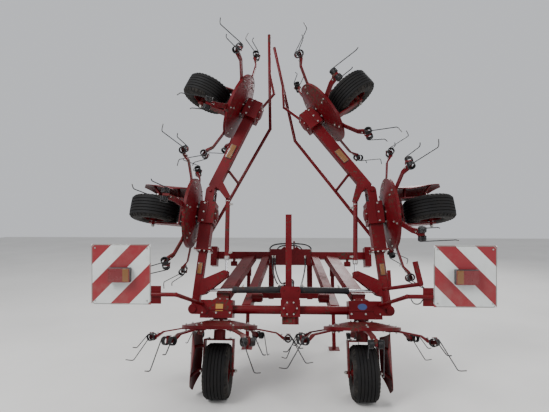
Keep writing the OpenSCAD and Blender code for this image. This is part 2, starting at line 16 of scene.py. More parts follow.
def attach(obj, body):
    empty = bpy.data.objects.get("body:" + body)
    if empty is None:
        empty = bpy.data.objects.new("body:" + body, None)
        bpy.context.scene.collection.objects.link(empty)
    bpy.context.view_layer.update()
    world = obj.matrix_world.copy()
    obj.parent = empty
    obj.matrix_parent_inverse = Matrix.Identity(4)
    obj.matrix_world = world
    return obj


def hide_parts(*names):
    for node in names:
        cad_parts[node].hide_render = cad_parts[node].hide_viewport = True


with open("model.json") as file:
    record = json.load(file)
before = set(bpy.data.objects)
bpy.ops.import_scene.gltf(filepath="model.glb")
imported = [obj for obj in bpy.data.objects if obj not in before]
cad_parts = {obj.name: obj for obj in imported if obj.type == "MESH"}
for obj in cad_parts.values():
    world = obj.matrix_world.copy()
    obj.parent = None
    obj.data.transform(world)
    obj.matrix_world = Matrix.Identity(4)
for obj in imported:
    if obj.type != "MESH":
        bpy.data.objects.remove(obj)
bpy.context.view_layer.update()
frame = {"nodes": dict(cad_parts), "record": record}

# %% [markdown]
# The machine stands nose-down on its wheels and legs, and its wings are folded.
# Every piece below is drawn in the plain axes of the part that carries it, then one matrix
# takes it to its place, so a number here means the same as on a drawing of that part.

# %% Places on the machine
PITCH, BEAM_H, Y_SHIFT = math.radians(15), 0.724, -0.3039
SIDES = {"l": -1, "r": 1}
PIN_X, OUT_PIN_X, FOLD_IN, FOLD_OUT = 0.85, 1.09, 95, {"l": 19, "r": 32}
ROTOR_X = {1: 0.62, 2: 0.87, 3: 0.92}
PHASE = {"r": (30, 0, 30), "l": (0, 30, 0)}
SECTION = {1: "frame", 2: "in", 3: "out"}


def folded(degrees):
    return Matrix.Rotation(-math.radians(degrees), 4, "Y")


def shifted(x=0, y=0, z=0):
    return Matrix.Translation((x, y, z))


def place(section, side="r"):
    mirrored = Matrix.Scale(SIDES[side], 4, (1, 0, 0))
    matrix = mirrored @ shifted(0, Y_SHIFT, BEAM_H) @ Matrix.Rotation(-PITCH, 4, "X")
    if section != "frame":
        matrix = matrix @ shifted(PIN_X) @ folded(FOLD_IN)
    if section == "out":
        matrix = matrix @ shifted(OUT_PIN_X) @ folded(FOLD_OUT[side])
    return matrix


def rotor_place(number, side):
    return place(SECTION[number], side) @ shifted(ROTOR_X[number])


def carrier_body(number, side):
    return "frame" if number == 1 else f"wing_{SECTION[number]}_{side}"


ROTORS = [(number, side) for number in (1, 2, 3) for side in ("l", "r")]
print("third rotor, right:", [round(v, 3) for v in rotor_place(3, "r").translation])

# %% [markdown]
# The camera stands behind the machine at the height of a tall person's eyes, in its middle
# plane, and looks a little to the left. A 27 mm lens gives the photograph's perspective.

# %% Camera
eye = bpy.data.cameras.new("eye")
eye.lens, eye.sensor_width = 27.2, 36
camera = bpy.data.objects.new("eye", eye)
camera.matrix_world = (shifted(0.0, Y_SHIFT - 3.67, 1.67)
                       @ Matrix.Rotation(math.radians(2.2), 4, "Z")
                       @ Matrix.Rotation(math.radians(90 - 0.4), 4, "X"))
bpy.context.scene.collection.objects.link(camera)
bpy.context.scene.camera = camera

# %% [markdown]
# A pale floor and three large soft lamps make a plain studio. The main lamp stands high on the
# left behind the camera, so the beams show a lit top and a shaded side, as they do outdoors.

# %% Floor and lights
floor_mesh = bpy.data.meshes.new("floor")
floor_mesh.from_pydata([(-14, -9, 0), (14, -9, 0), (14, 16, 0), (-14, 16, 0)], [], [(0, 1, 2, 3)])
floor = bpy.data.objects.new("floor", floor_mesh)
bpy.context.scene.collection.objects.link(floor)


def soft_lamp(name, spot, target, size, watts):
    lamp = bpy.data.lights.new(name, "AREA")
    lamp.size, lamp.energy = size, watts
    holder = bpy.data.objects.new(name, lamp)
    direction = Vector(target) - Vector(spot)
    holder.matrix_world = shifted(*spot) @ direction.to_track_quat("-Z", "Y").to_matrix().to_4x4()
    bpy.context.scene.collection.objects.link(holder)


soft_lamp("key", (-4.5, -4.5, 6.5), (0, 0, 1.2), 3.0, 620)
soft_lamp("fill", (5.5, -4.0, 3.5), (0, 0, 1.2), 4.0, 190)
soft_lamp("rim", (2.5, 6.0, 6.0), (0, 0, 1.4), 4.0, 420)
world = bpy.data.worlds.new("studio")
world.use_nodes = True
world.node_tree.nodes["Background"].inputs["Color"].default_value = (0.86, 0.88, 0.92, 1)
world.node_tree.nodes["Background"].inputs["Strength"].default_value = 0.75
bpy.context.scene.world = world
print("three lamps and a pale sky")

# %% [markdown]
# Shader and geometry trees are both written as Python. A small class wraps a socket and
# overloads the operators, so a mask can be written like a sum on paper.


# %% Node writing
class Val:
    """A number that varies over a surface: one output socket in a tree."""

    def __init__(self, tree, socket):
        self.tree, self.socket = tree, socket

    def math(self, operation, a, b=None):
        sockets = {0: a} if b is None else {0: a, 1: b}
        return self.tree.value("ShaderNodeMath", {"operation": operation}, sockets)

    def __add__(self, other):
        return self.math("ADD", self, other)

    def __sub__(self, other):
        return self.math("SUBTRACT", self, other)

    def __rsub__(self, other):
        return self.math("SUBTRACT", other, self)

    def __mul__(self, other):
        return self.math("MULTIPLY", self, other)

    def __truediv__(self, other):
        return self.math("DIVIDE", self, other)

    def __gt__(self, other):
        return self.math("GREATER_THAN", self, other)

    def clamp(self):
        return self.math("MINIMUM", self.math("MAXIMUM", self, 0.0), 1.0)

    def mod(self, other):
        return self.math("FLOORED_MODULO", self, other)

    def abs(self):
        return self.math("ABSOLUTE", self)

    __radd__, __rmul__ = __add__, __mul__


class Tree:
    """Adds and wires the nodes of one shader or geometry tree."""

    def __init__(self, nodes_tree):
        self.made = nodes_tree

    def add(self, kind, settings=None, sockets=None):
        node = self.made.nodes.new(kind)
        for name, value in (settings or {}).items():
            setattr(node, name, value)
        for name, value in (sockets or {}).items():
            if isinstance(value, Val):
                value = value.socket
            if isinstance(value, bpy.types.NodeSocket):
                self.made.links.new(value, node.inputs[name])
            else:
                node.inputs[name].default_value = value
        return node

    def value(self, kind, settings=None, sockets=None, out=0):
        return Val(self, self.add(kind, settings, sockets).outputs[out])


class Finish(Tree):
    """A material with the masks that every finish here is mixed from."""

    def __init__(self, name, roughness=0.5, metallic=0.0, coat=0.0):
        self.material = bpy.data.materials.new(name)
        self.material.use_nodes = True
        super().__init__(self.material.node_tree)
        self.shader = self.made.nodes["Principled BSDF"]
        self.shader.inputs["Roughness"].default_value = roughness
        self.shader.inputs["Metallic"].default_value = metallic
        self.shader.inputs["Coat Weight"].default_value = coat
        self.place = self.add("ShaderNodeTexCoord").outputs["Object"]
        self.material.diffuse_color = (0.5, 0.5, 0.5, 1)

    def noise(self, scale, detail=4.0, rough=0.55):
        return self.value("ShaderNodeTexNoise", None, {"Vector": self.place, "Scale": scale,
                                                       "Detail": detail, "Roughness": rough})

    def cells(self, scale):
        return self.value("ShaderNodeTexVoronoi", None, {"Vector": self.place, "Scale": scale})

    def axis(self, letter, source=None):
        parts = self.add("ShaderNodeSeparateXYZ", None, {0: source or self.place})
        return Val(self, parts.outputs[letter])

    def step(self, value, low, high):
        return self.value("ShaderNodeMapRange", None,
                          {"Value": value, "From Min": low, "From Max": high})

    def up(self):
        return self.axis("Z", self.add("ShaderNodeNewGeometry").outputs["Normal"])

    def mix(self, mask, a, b):
        node = self.add("ShaderNodeMix", {"data_type": "RGBA"})
        for socket, value in ((node.inputs[0], mask), (node.inputs[6], a), (node.inputs[7], b)):
            if isinstance(value, Val):
                value = value.socket
            if isinstance(value, bpy.types.NodeSocket):
                self.made.links.new(value, socket)
            elif isinstance(value, tuple):
                socket.default_value = (*value, 1)
            else:
                socket.default_value = value
        return node.outputs[2]

    def set(self, **links):
        for name, value in links.items():
            value = value.socket if isinstance(value, Val) else value
            self.made.links.new(value, self.shader.inputs[name.replace("_", " ")])

    def bump(self, height, strength=0.3, distance=0.001):
        sockets = {"Height": height, "Strength": strength, "Distance": distance}
        node = self.add("ShaderNodeBump", None, sockets)
        self.made.links.new(node.outputs["Normal"], self.shader.inputs["Normal"])


print("node helpers ready")

# %% [markdown]
# Farm enamel fades in clouds, carries dust on its upward faces and chips down to primer and
# rust. The chips come from a sharp cut through fine noise, the dust from the face's own slope.


# %% Enamel
def enamel(name, color, faded, chip_at=0.73, dust=0.10, gloss=0.36):
    paint = Finish(name)
    paint.shader.inputs["Specular IOR Level"].default_value = 0.15
    cloud = paint.step(paint.noise(3.2, 5), 0.35, 0.68)
    speck = paint.noise(46, 6, 0.62)
    chips = paint.step(speck + 0.25 * cloud, chip_at, chip_at + 0.03)
    film = paint.step(paint.up(), 0.25, 0.95) * paint.step(paint.noise(11, 4), 0.3, 0.75) * dust
    grime = paint.step(paint.noise(7.0, 6, 0.7), 0.52, 0.80) * 0.4
    base = paint.mix(cloud, color, faded)
    base = paint.mix(grime, base, tuple(c * 0.35 for c in color))
    base = paint.mix(film.clamp(), base, (0.20, 0.14, 0.10))
    base = paint.mix(chips, base, (0.055, 0.028, 0.02))
    paint.set(Base_Color=base,
              Roughness=(gloss + 0.22 * cloud + 0.35 * chips + 0.4 * film).clamp(),
              Coat_Weight=(0.08 - 0.08 * film).clamp())
    paint.bump(paint.noise(160, 3) * 0.35 - chips, 0.35, 0.0006)
    return paint.material


red_enamel = enamel("red_enamel", (0.084, 0.0006, 0.0030), (0.118, 0.0018, 0.0052))
disc_enamel = enamel("disc_enamel", (0.076, 0.0008, 0.0032), (0.108, 0.003, 0.0065),
                     chip_at=0.70, dust=0.12)
black_enamel = enamel("black_enamel", (0.010, 0.010, 0.012), (0.022, 0.021, 0.022), chip_at=0.72)
print("enamels:", red_enamel.name, disc_enamel.name, black_enamel.name)

# %% [markdown]
# The springs are oil-hardened wire in black enamel. Hay polishes the paint off their tips, so
# bare steel shows there, found from a stored number that runs from 0 at the coil to 1 at the tip.


# %% Metals
def bare_metal(name, color, rough, rust=0.0):
    steel = Finish(name, rough, metallic=1.0)
    streak = steel.noise(70, 4)
    spots = steel.step(steel.noise(28, 6, 0.65), 0.60 - rust * 0.15, 0.74)
    base = steel.mix(streak, tuple(c * 0.8 for c in color), color)
    steel.set(Base_Color=steel.mix(spots * rust, base, (0.13, 0.055, 0.025)),
              Roughness=(rough + 0.2 * streak + 0.3 * spots * rust).clamp(),
              Metallic=1 - 0.8 * spots * rust)
    steel.bump(streak, 0.15, 0.0004)
    return steel.material


def spring_wire():
    wire = Finish("spring_wire", 0.42)
    worn = Val(wire, wire.add("ShaderNodeAttribute", {"attribute_name": "worn"}).outputs["Fac"])
    patch = wire.noise(38, 5)
    bare = wire.step(worn + 0.25 * patch, 0.9, 1.08)
    rusty = wire.step(wire.noise(55, 5, 0.6), 0.56, 0.72) * 0.6
    base = wire.mix(rusty, (0.012, 0.012, 0.013), (0.075, 0.035, 0.02))
    wire.set(Base_Color=wire.mix(bare, base, (0.11, 0.105, 0.10)), Metallic=0.3 + 0.4 * bare,
             Roughness=0.36 + 0.3 * rusty)
    wire.bump(patch, 0.25, 0.0005)
    return wire.material


dull_steel = bare_metal("dull_steel", (0.42, 0.41, 0.40), 0.38, rust=0.5)
zinc = bare_metal("zinc", (0.50, 0.49, 0.46), 0.34, rust=0.25)
chrome = bare_metal("chrome", (0.78, 0.78, 0.80), 0.10)
spring_steel = spring_wire()
print("metals:", dull_steel.name, zinc.name, chrome.name, spring_steel.name)


# %% [markdown]
# Tyre rubber is nearly black with a brown-grey bloom, and field dust lies in its grooves. The
# grooves are read from the tyre's own attribute, which is 1 at the tread's top and 0 below it.


# %% Rubber, plastic and boards
def tyre_rubber():
    rubber = Finish("tyre_rubber", 0.72)
    rubber.shader.inputs["Specular IOR Level"].default_value = 0.22
    top = Val(rubber, rubber.add("ShaderNodeAttribute", {"attribute_name": "tread"}).outputs["Fac"])
    bloom = rubber.step(rubber.noise(9, 5), 0.35, 0.75)
    base = rubber.mix(bloom, (0.0045, 0.0045, 0.005), (0.012, 0.011, 0.0105))
    dust = ((1 - top) * rubber.step(rubber.noise(24, 4), 0.35, 0.65) * 0.35).clamp()
    rubber.set(Base_Color=rubber.mix(dust, base, (0.07, 0.06, 0.05)), Roughness=0.68 + 0.22 * bloom)
    rubber.bump(rubber.noise(240, 2), 0.2, 0.0006)
    return rubber.material


def moulded(name, color, rough=0.25, ribs=0.0):
    plastic = Finish(name, rough, coat=0.5)
    tone = plastic.noise(18, 3)
    plastic.set(Base_Color=plastic.mix(tone, tuple(c * 0.8 for c in color), color),
                Roughness=rough + 0.15 * tone)
    height = plastic.noise(120, 2) * 0.3
    if ribs:
        height = (plastic.axis("Z") / ribs).mod(1.0) + height
    plastic.bump(height, 0.4, 0.0015)
    return plastic.material


# Where one stripe starts, as |x| + z, and the distance from stripe to stripe along x or z
STRIPE_FROM, STRIPE_STEP = 1.825, 0.27


def striped_board():
    board = Finish("striped_board", 0.28, coat=0.1)
    across, up = board.axis("X").abs(), board.axis("Z")
    band = ((across + up - STRIPE_FROM) / STRIPE_STEP).mod(1.0) > 0.5
    cells = board.cells(420)
    dirt = board.step(board.noise(8, 6, 0.65), 0.48, 0.8) * 0.3
    color = board.mix(band, (0.21, 0.004, 0.010), (0.56, 0.58, 0.57))
    color = board.mix(cells * 0.07, color, (0.30, 0.28, 0.27))
    board.set(Base_Color=board.mix(dirt, color, (0.20, 0.17, 0.14)), Roughness=0.28 + 0.3 * dirt)
    board.bump(cells, 0.2, 0.0004)
    return board.material


rubber = tyre_rubber()
hose_rubber = moulded("hose_rubber", (0.014, 0.014, 0.015), 0.45)
amber = moulded("amber", (0.17, 0.068, 0.011), 0.22, ribs=0.006)
red_lens = moulded("red_lens", (0.15, 0.005, 0.008), 0.2, ribs=0.007)
lamp_black = moulded("lamp_black", (0.02, 0.02, 0.022), 0.4)
guard_black = moulded("guard_black", (0.016, 0.016, 0.017), 0.5)
plain_yellow = moulded("plain_yellow", (0.38, 0.19, 0.02), 0.4)
plain_blue = moulded("plain_blue", (0.022, 0.05, 0.17), 0.4)
plain_grey = moulded("plain_grey", (0.20, 0.20, 0.18), 0.5)
board_face = striped_board()

pale = Finish("pale_floor", 0.85)
tint = pale.step(pale.noise(0.7, 4), 0.3, 0.7)
pale.set(Base_Color=pale.mix(tint, (0.60, 0.59, 0.57), (0.66, 0.65, 0.63)))
floor_mesh.materials.append(pale.material)
print("finishes:", len(bpy.data.materials))

# %% [markdown]
# The CAD nodes keep their shapes. Each gets the finish that its real part has, by a short table
# of name beginnings, and the rest of the machine is red.

# %% Finishes on the CAD nodes
NODE_FINISH = [("tyre", rubber), ("tines", spring_steel),
               ("fold_rod", chrome), ("tilt_rod", chrome),
               ("fold_barrel", black_enamel), ("tilt_barrel", red_enamel), ("boards", board_face),
               ("board_lamps", red_lens), ("driveline", guard_black), ("rotor_beam", red_enamel),
               ("rotor_", disc_enamel), ("hoses", hose_rubber)]
node_names = [entry["node"] for entry in frame["record"]["subparts"]]
for node in node_names:
    finish = next((made for start, made in NODE_FINISH if node.startswith(start)), red_enamel)
    slots = frame["nodes"][node].data.materials
    slots.clear()
    slots.append(finish)
print("finished nodes:", len(node_names))

# %% [markdown]
# Geometry Nodes make what repeats or follows a path. Two trees do most of the work: one sweeps
# a round section along wires and hoses, the other sets a bolt on each marked point, turned to
# the direction that the point stores.


# %% Geometry node helpers
class Recipe(Tree):
    """A Geometry Nodes tree with named inputs, used as a modifier and then applied."""

    def __init__(self, name, **inputs):
        super().__init__(bpy.data.node_groups.new(name, "GeometryNodeTree"))
        face = self.made.interface
        face.new_socket("Geometry", in_out="INPUT", socket_type="NodeSocketGeometry")
        face.new_socket("Geometry", in_out="OUTPUT", socket_type="NodeSocketGeometry")
        kinds = {float: "NodeSocketFloat", int: "NodeSocketInt"}
        for label, value in inputs.items():
            kind = kinds.get(type(value), "NodeSocketMaterial")
            socket = face.new_socket(label.replace("_", " "), in_out="INPUT", socket_type=kind)
            if kind != "NodeSocketMaterial":
                socket.default_value = value
        self.enter = self.made.nodes.new("NodeGroupInput")
        self.leave = self.made.nodes.new("NodeGroupOutput")

    def given(self, label):
        return self.enter.outputs[label]

    def finish(self, geometry):
        real = self.add("GeometryNodeRealizeInstances", None, {"Geometry": geometry})
        done = self.add("GeometryNodeSetMaterial", None, {"Geometry": real.outputs[0],
                                                           "Material": self.given("Finish")})
        self.made.links.new(done.outputs[0], self.leave.inputs["Geometry"])


def link(name, data):
    holder = bpy.data.objects.new(name, data)
    bpy.context.scene.collection.objects.link(holder)
    return holder


def keep(mesh, name, body, smooth=40):
    """Turn a finished mesh into a piece that rides on a body."""
    mesh.name = name
    piece = link(name, mesh)
    mesh.shade_smooth()
    if smooth < 180:
        mesh.set_sharp_from_angle(angle=math.radians(smooth))
    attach(piece, body)
    return piece


def cook(source, recipe, **values):
    """Run a recipe on an object, return its result as a plain mesh and drop the object."""
    modifier = source.modifiers.new("recipe", "NODES")
    modifier.node_group = recipe.made
    for item in recipe.made.interface.items_tree:
        label = item.name.replace(" ", "_")
        if item.in_out == "INPUT" and label in values:
            modifier[item.identifier] = values[label]
    graph = bpy.context.evaluated_depsgraph_get()
    result = bpy.data.meshes.new_from_object(source.evaluated_get(graph))
    source.modifiers.clear()
    bpy.data.objects.remove(source)
    return result


sweep = Recipe("sweep", Radius=0.005, Sides=8, Finish=None)
section = sweep.add("GeometryNodeCurvePrimitiveCircle", None, {
    "Radius": sweep.given("Radius"), "Resolution": sweep.given("Sides")})
swept = sweep.add("GeometryNodeCurveToMesh", None, {
    "Curve": sweep.given("Geometry"), "Profile Curve": section.outputs[0], "Fill Caps": True})
sweep.finish(swept.outputs[0])
print("recipe:", sweep.made.name)

# %% [markdown]
# A path is a list of points in the axes of its part. A bend is rounded by cutting each corner
# twice, which is enough at this size and keeps the count of points low.


# %% Paths
def rounded(points, rounds=2):
    for _ in range(rounds):
        cut = [points[0]]
        for a, b in zip(points, points[1:]):
            a, b = Vector(a), Vector(b)
            cut += [a.lerp(b, 0.25), a.lerp(b, 0.75)]
        points = cut + [points[-1]]
    return [Vector(p) for p in points]


def wires(name, paths, matrix):
    """A curve object with one open spline for each path, placed in the machine's frame."""
    curve = bpy.data.curves.new(name, "CURVE")
    curve.dimensions = "3D"
    for path in paths:
        spline = curve.splines.new("POLY")
        spline.points.add(len(path) - 1)
        for spot, point in zip(spline.points, path):
            spot.co = (*(matrix @ Vector(point)), 1)
    return link(name, curve)


# %% [markdown]
# A double tine is one wire: a long finger, four turns, a bridge over its holder, four more turns
# and a short finger. Each finger leaves its coil along the tangent and ends in a small hook.

# %% Spring tines
COIL_R, WIRE_R, COIL_LEN, COIL_GAP = 0.0295, 0.00435, 0.046, 0.013
COIL_X, COIL_Z, TURNS, TURN_POINTS = 0.600, -0.242, 4, 14
TINE_R, TINE_Z, TRAIL = 0.815, -0.440, 0.060
# How far before a finger's hook its bend begins, and how far from its coil its wear is full
BEND, WEAR_REACH = 0.030, 0.30


def arm_turns(number, side):
    """The turn that takes a rotor's x axis to each of its six arms."""
    phase = PHASE[side][number - 1]
    return [Matrix.Rotation(math.radians(phase + 60 * i), 4, "Z") for i in range(6)]


def half_tine(way, tip_path):
    """From the bridge's middle out to the tip, on the side given by way."""
    path, steps = [Vector((COIL_X, 0, COIL_Z + COIL_R + 0.002))], TURNS * TURN_POINTS
    leave = math.radians(37)
    start = leave + math.radians(360 * TURNS + 53)
    for i in range(steps + 1):
        t = i / steps
        angle = start + (leave - start) * t
        y = way * (COIL_GAP + WIRE_R + (COIL_LEN - 2 * WIRE_R) * t)
        x, z = COIL_X + COIL_R * math.cos(angle), COIL_Z + COIL_R * math.sin(angle)
        path.append(Vector((x, y, z)))
    corner, tip = (Vector(p) for p in tip_path)
    before = corner + (path[-1] - corner).normalized() * BEND
    return path + rounded([path[-1], before, corner, tip])[1:]


def tine_wire(hand):
    y = COIL_GAP + COIL_LEN - WIRE_R
    long_tip = [(TINE_R - 0.062, y - TRAIL * 0.7, TINE_Z - 0.004),
                (TINE_R, y - TRAIL, TINE_Z + 0.006)]
    short_tip = [(TINE_R - 0.115, -y - TRAIL * 0.4, TINE_Z + 0.110),
                 (TINE_R - 0.082, -y - TRAIL * 0.5, TINE_Z + 0.114)]
    wire = list(reversed(half_tine(1, long_tip))) + half_tine(-1, short_tip)[1:]
    return [Vector((p.x, p.y * hand, p.z)) for p in wire]


def mark_wear(piece, centres, reach):
    """Store how far each point lies from its coil, for the wire's finish."""
    worn = piece.data.attributes.new("worn", "FLOAT", "POINT")
    for vertex, slot in zip(piece.data.vertices, worn.data):
        slot.value = min(min((vertex.co - c).length for c in centres) / reach, 1.0)


for number, side in ROTORS:
    hand = -1 if number == 2 else 1
    turns = arm_turns(number, side)
    wire = tine_wire(hand)
    spot = rotor_place(number, side)
    bundle = wires(f"spring_{number}{side}", [[turn @ p for p in wire] for turn in turns], spot)
    mesh = cook(bundle, sweep, Radius=WIRE_R, Sides=7, Finish=spring_steel)
    piece = keep(mesh, f"spring_tines_{number}{side}", f"rotor_{number}{side}", 180)
    mark_wear(piece, [spot @ turn @ Vector((COIL_X, 0, COIL_Z)) for turn in turns], WEAR_REACH)
    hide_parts(f"tines_{number}{side}")
print("points in one tine:", len(wire), "faces in the last bundle:", len(piece.data.polygons))

# %% [markdown]
# The wheels are 18-inch implement tyres with ribs round the crown and lugs on the shoulders. The
# casing is a turned profile. The lugs are one small block set round each shoulder by a recipe.


# %% Turned shapes
def turned(profile, sides=72, closed=True):
    """Revolve (radius, height) points about the z axis into a bmesh."""
    form = bmesh.new()
    rings = []
    for k in range(sides):
        a = 2 * math.pi * k / sides
        rings.append([form.verts.new((r * math.cos(a), r * math.sin(a), z)) for r, z in profile])
    spans = len(profile) if closed else len(profile) - 1
    for k in range(sides):
        here, there = rings[k], rings[(k + 1) % sides]
        for i in range(spans):
            j = (i + 1) % len(profile)
            form.faces.new((here[i], there[i], there[j], here[j]))
    bmesh.ops.remove_doubles(form, verts=form.verts, dist=1e-5)
    bmesh.ops.recalc_face_normals(form, faces=form.faces)
    return form


def as_mesh(form, name, matrix, finish):
    mesh = bpy.data.meshes.new(name)
    form.to_mesh(mesh)
    form.free()
    mesh.transform(matrix)
    if matrix.determinant() < 0:
        mesh.flip_normals()
    mesh.materials.append(finish)
    return mesh


# %% Tyres
TYRE_R, TYRE_W, AXLE_DROP = 0.2285, 0.108, 0.513
LUGS, LUG_R, LUG_SIDE, TREAD_FROM = 34, 0.2262, 0.0712, 0.2225
lug_ring = Recipe("lug_ring", Count=LUGS, Radius=0.2, Finish=None)
circle = lug_ring.add("GeometryNodeMeshCircle", None, {
    "Vertices": lug_ring.given("Count"), "Radius": lug_ring.given("Radius")})
outward = lug_ring.add("GeometryNodeInputPosition")
flat = lug_ring.add("FunctionNodeAlignRotationToVector", {"axis": "X", "pivot_axis": "Z"},
                    {"Vector": outward.outputs[0]})
lugs = lug_ring.add("GeometryNodeInstanceOnPoints", None, {
    "Points": circle.outputs[0], "Instance": lug_ring.given("Geometry"),
    "Rotation": flat.outputs[0]})
lug_ring.finish(lugs.outputs[0])


def tyre_profile():
    w, r = TYRE_W, TYRE_R
    side = [(0.1035, w - 0.024), (0.112, w - 0.013), (0.121, w - 0.006), (0.150, w - 0.0015),
            (0.172, w - 0.0006), (0.190, w - 0.003), (0.204, w - 0.010), (0.2135, w - 0.021)]
    crown = []
    for centre in (0.070, 0.042, 0.014, -0.014, -0.042, -0.070):
        top = r - 0.0006 - 0.9 * max(abs(centre) - 0.03, 0) ** 2
        crown += [(top - 0.009, centre + 0.0135), (top, centre + 0.0105), (top, centre - 0.0105),
                  (top - 0.009, centre - 0.0135)]
    return side + crown + [(radius, -z) for radius, z in reversed(side)]


def tread_lug(way):
    """One shoulder block, drawn at the crown, out along x and across along z."""
    form = bmesh.new()
    outline = [(0.0, 0.0), (-0.0145, 0.027), (-0.028, 0.0335), (-0.036, 0.030), (-0.010, -0.004)]
    for y in (-0.0085, 0.0085):
        for x, z in outline:
            form.verts.new((x, y * (1 - 8 * abs(x)), way * z))
    form.verts.ensure_lookup_table()
    n = len(outline)
    for i in range(n):
        j = (i + 1) % n
        form.faces.new([form.verts[k] for k in (i, j, j + n, i + n)])
    form.faces.new([form.verts[k] for k in range(n)])
    form.faces.new([form.verts[k + n] for k in range(n)])
    bmesh.ops.recalc_face_normals(form, faces=form.faces)
    return form


def joined(meshes, name):
    """Join plain meshes that share one finish."""
    form = bmesh.new()
    for mesh in meshes:
        form.from_mesh(mesh)
    result = bpy.data.meshes.new(name)
    form.to_mesh(result)
    form.free()
    result.materials.append(meshes[0].materials[0])
    return result


def lugs_round(way):
    lug = link("lug", as_mesh(tread_lug(way), "lug", shifted(0, 0, way * LUG_SIDE), rubber))
    return cook(lug, lug_ring, Count=LUGS, Radius=LUG_R, Finish=rubber)


casing = as_mesh(turned(tyre_profile(), 84), "casing", Matrix(), rubber)
wheel_mesh = joined([casing, lugs_round(1), lugs_round(-1)], "wheel_tyre")
on_axle = shifted(0, 0, -AXLE_DROP) @ Matrix.Rotation(math.pi / 2, 4, "Y")
for number, side in ROTORS:
    mesh = wheel_mesh.copy()
    tread = mesh.attributes.new("tread", "FLOAT", "POINT")
    for vertex, slot in zip(mesh.vertices, tread.data):
        slot.value = 1.0 if vertex.co.xy.length > TREAD_FROM else 0.0
    matrix = rotor_place(number, side) @ on_axle
    mesh.transform(matrix)
    if matrix.determinant() < 0:
        mesh.flip_normals()
    piece = keep(mesh, f"ribbed_tyre_{number}{side}", f"wheel_{number}{side}", 32)
    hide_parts(f"tyre_{number}{side}")
print("tyre faces:", len(wheel_mesh.polygons))

# %% [markdown]
# Each rim is held by five nuts round a small hub cap, seen inside the tyre. A bolt here is a
# hexagon on a washer with the thread standing out of it. The recipe sets one on each point and
# turns it to the direction kept in the attribute "facing".

# %% Bolts
bolts = Recipe("bolts", Size=0.01, Finish=None)
size = Val(bolts, bolts.given("Size"))


def bolt_disc(sides, radius, depth, lift):
    form = bolts.add("GeometryNodeMeshCylinder", None, {
        "Vertices": sides, "Radius": size * radius, "Depth": size * depth})
    offset = bolts.add("ShaderNodeCombineXYZ", None, {"Z": size * lift})
    return bolts.add("GeometryNodeTransform", None, {
        "Geometry": form.outputs[0], "Translation": offset.outputs[0]})


bolt = bolts.add("GeometryNodeJoinGeometry")
BOLT_PARTS = [(16, 1.45, 0.26, 0.13), (6, 1.1, 0.85, 0.66), (10, 0.58, 0.5, 1.3)]
for shape in BOLT_PARTS:
    bolts.made.links.new(bolt_disc(*shape).outputs[0], bolt.inputs[0])
facing = bolts.add("GeometryNodeInputNamedAttribute", {"data_type": "FLOAT_VECTOR"},
                   {"Name": "facing"})
turn_to = bolts.add("FunctionNodeAlignRotationToVector", {"axis": "Z"},
                    {"Vector": facing.outputs[0]})
set_bolts = bolts.add("GeometryNodeInstanceOnPoints", None, {
    "Points": bolts.given("Geometry"), "Instance": bolt.outputs[0], "Rotation": turn_to.outputs[0]})
bolts.finish(set_bolts.outputs[0])


def bolted(name, body, spots, size, finish, matrix):
    """Set bolts on (point, direction) pairs given in the axes of one part."""
    mesh = bpy.data.meshes.new(name)
    mesh.from_pydata([matrix @ Vector(point) for point, _ in spots], [], [])
    way = mesh.attributes.new("facing", "FLOAT_VECTOR", "POINT")
    for (_, direction), slot in zip(spots, way.data):
        slot.vector = (matrix.to_3x3() @ Vector(direction)).normalized()
    return keep(cook(link(name, mesh), bolts, Size=size, Finish=finish), name, body, 30)


def around(count, radius, z, start=0.0, way=(0, 0, 1)):
    angles = [math.radians(start + 360 * i / count) for i in range(count)]
    return [((radius * math.cos(a), radius * math.sin(a), z), way) for a in angles]


def dish_top(radius):
    """Height of the dish's upper face above the rotor's own origin."""
    return -0.096 - 0.040 * (radius - 0.118) / 0.198


# Radii of the two bolts through an arm and the dish, and the height of the arm's underside
ARM_BOLTS_R, ARM_UNDERSIDE = (0.245, 0.302), -0.1743
for number, side in ROTORS:
    spot = rotor_place(number, side)
    nuts = around(5, 0.062, 0.004, 18) + around(5, 0.062, -0.010, 18, (0, 0, -1))
    bolted(f"wheel_nuts_{number}{side}", f"wheel_{number}{side}", nuts, 0.0085, zinc,
           spot @ on_axle)
    heads = around(6, 0.092, -0.096, PHASE[side][number - 1] + 30)
    for turn in arm_turns(number, side):
        for r in ARM_BOLTS_R:
            heads.append((turn @ Vector((r, 0, dish_top(r))), (0, 0, 1)))
            heads.append((turn @ Vector((r, 0, ARM_UNDERSIDE)), (0, 0, -1)))
        heads.append((turn @ Vector((0.545, 0, -0.214)), (0.66, 0, 0.75)))
    bolted(f"rotor_bolts_{number}{side}", f"rotor_{number}{side}", heads, 0.0075, zinc, spot)
print("wheel nuts and rotor bolts set")

# %% [markdown]
# Rounded boxes, plates with real thickness and turned caps come from three small makers. Each
# edge that a hand could touch on the real machine gets a narrow bevel, which catches the light.


# %% Makers
def softened(form, width, segments=2, angle=30):
    sharp = [e for e in form.edges if e.is_manifold and e.calc_face_angle(0) > math.radians(angle)]
    bmesh.ops.bevel(form, geom=sharp, offset=width, segments=segments, profile=0.6, affect="EDGES")
    bmesh.ops.recalc_face_normals(form, faces=form.faces)
    return form


def block(low, high, edge=0.003, segments=2):
    form = bmesh.new()
    bmesh.ops.create_cube(form, size=1)
    for vertex in form.verts:
        vertex.co = Vector([low[i] + (vertex.co[i] + 0.5) * (high[i] - low[i]) for i in range(3)])
    return softened(form, edge, segments)


def plate(outline, thick):
    """A flat outline in x and y, thickened upwards from z = 0."""
    form = bmesh.new()
    low, high = ([form.verts.new((x, y, z)) for x, y in outline] for z in (0, thick))
    form.faces.new(low)
    form.faces.new(high)
    for i in range(len(outline)):
        form.faces.new((low[i - 1], low[i], high[i], high[i - 1]))
    bmesh.ops.recalc_face_normals(form, faces=form.faces)
    return form


